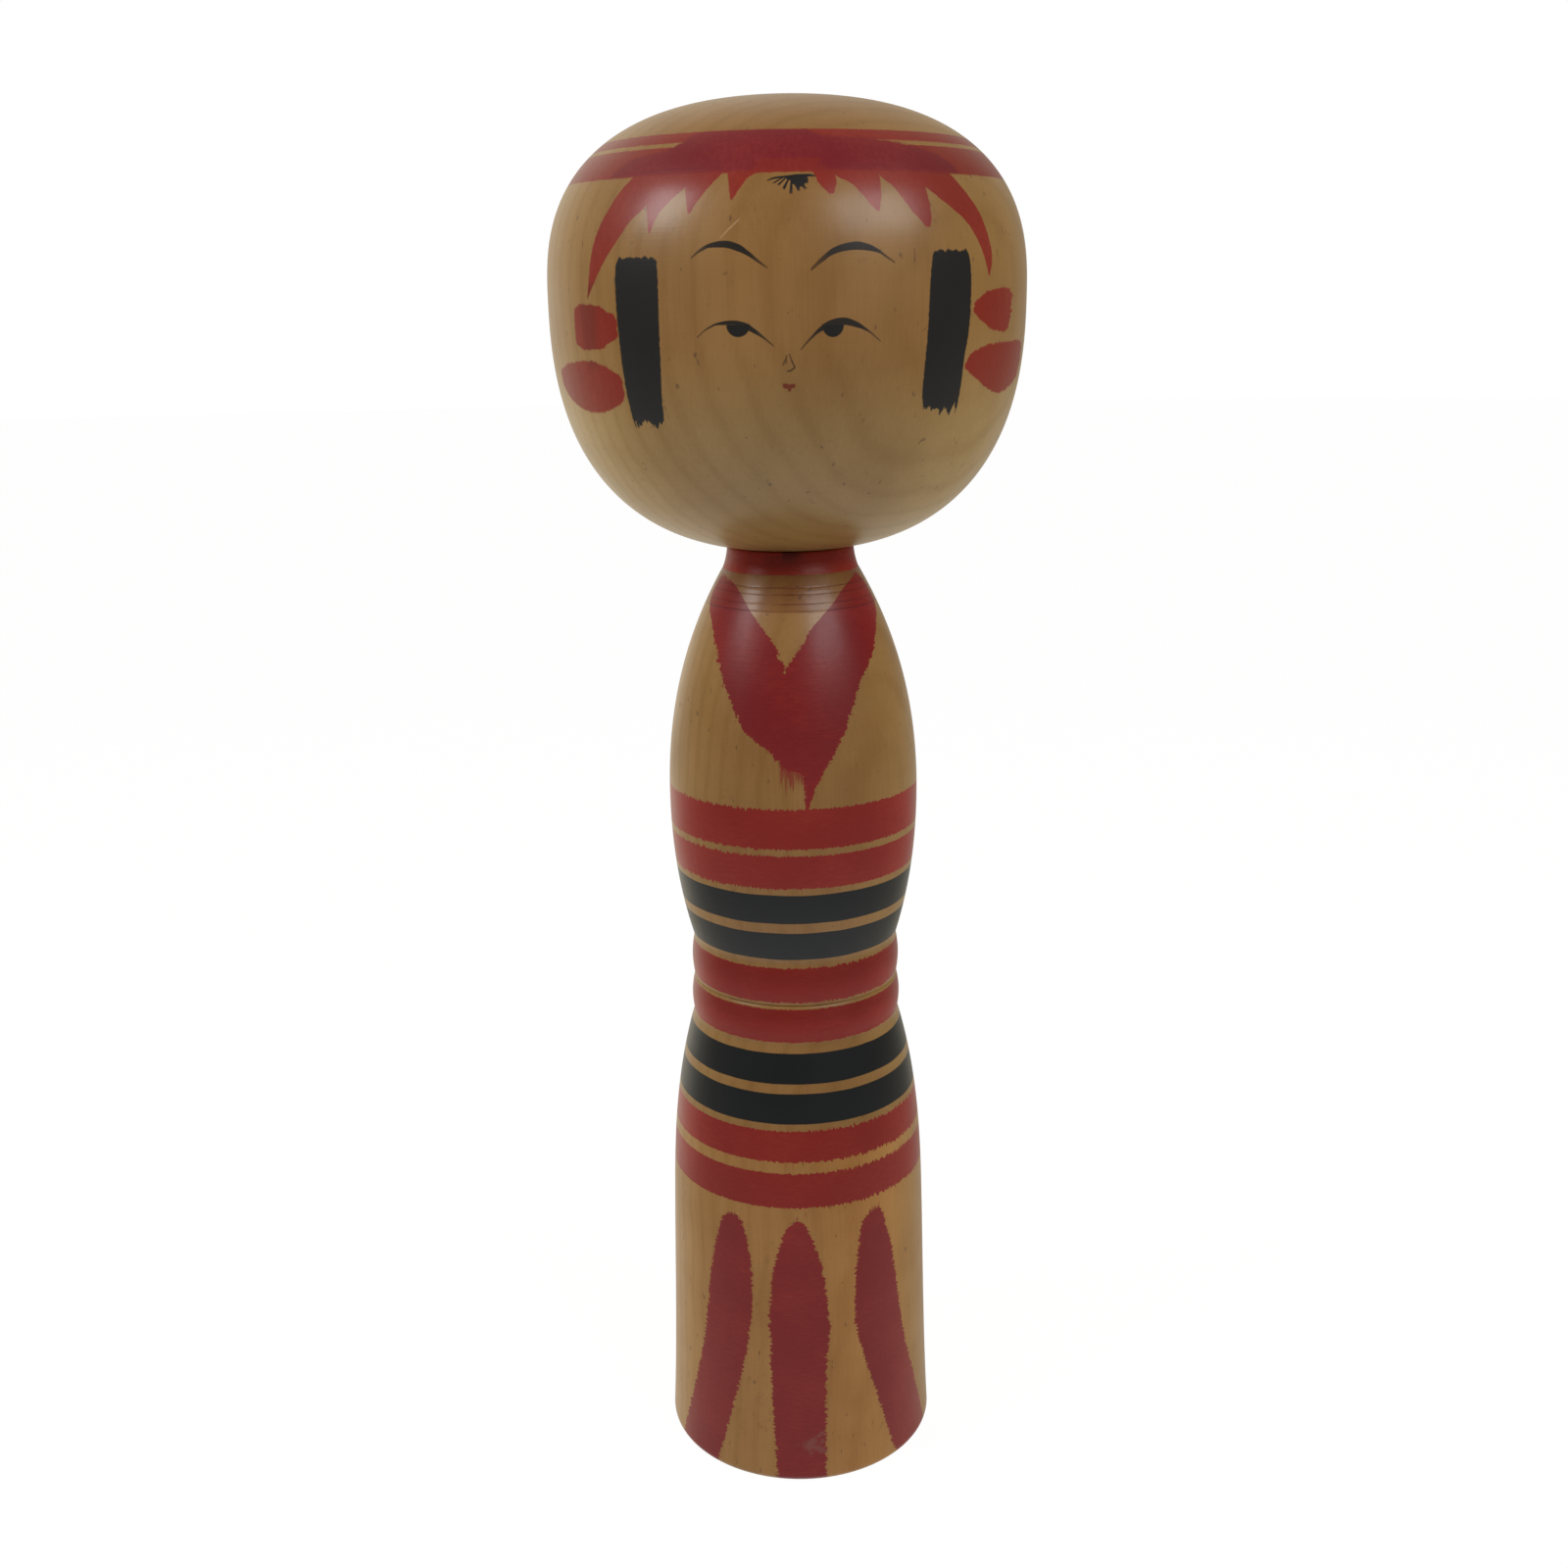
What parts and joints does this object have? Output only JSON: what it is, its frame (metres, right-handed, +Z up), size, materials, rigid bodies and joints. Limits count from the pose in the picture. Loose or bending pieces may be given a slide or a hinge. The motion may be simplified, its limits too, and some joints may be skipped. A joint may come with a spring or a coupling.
{
  "type": "kokeshi doll",
  "caption": "Turned wooden kokeshi doll: a waisted body with painted rings and a large round painted head that turns on a tenon in the neck.",
  "frame": {"origin": "centre of the flat base the doll stands on", "axes": "+Z up along the turning axis, the face looks along -Y, +X is on the right of someone who looks at the face"},
  "size_m": [0.098, 0.098, 0.3],
  "materials": {
    "body_wood": "waxed satin, painted with red and black rings, collar and hem strokes",
    "head_wood": "waxed satin, painted with headband, hair, face and ribbons"
  },
  "bodies": {
    "doll_body": {"body": "body_wood"},
    "doll_head": {"head": "head_wood"}
  },
  "joints": [
    {"name": "head_turn", "type": "hinge", "parent": "doll_body", "child": "doll_head", "pos_m": [0, 0, 0.211], "axis": [0, 0, 1], "continuous": true}
  ]
}
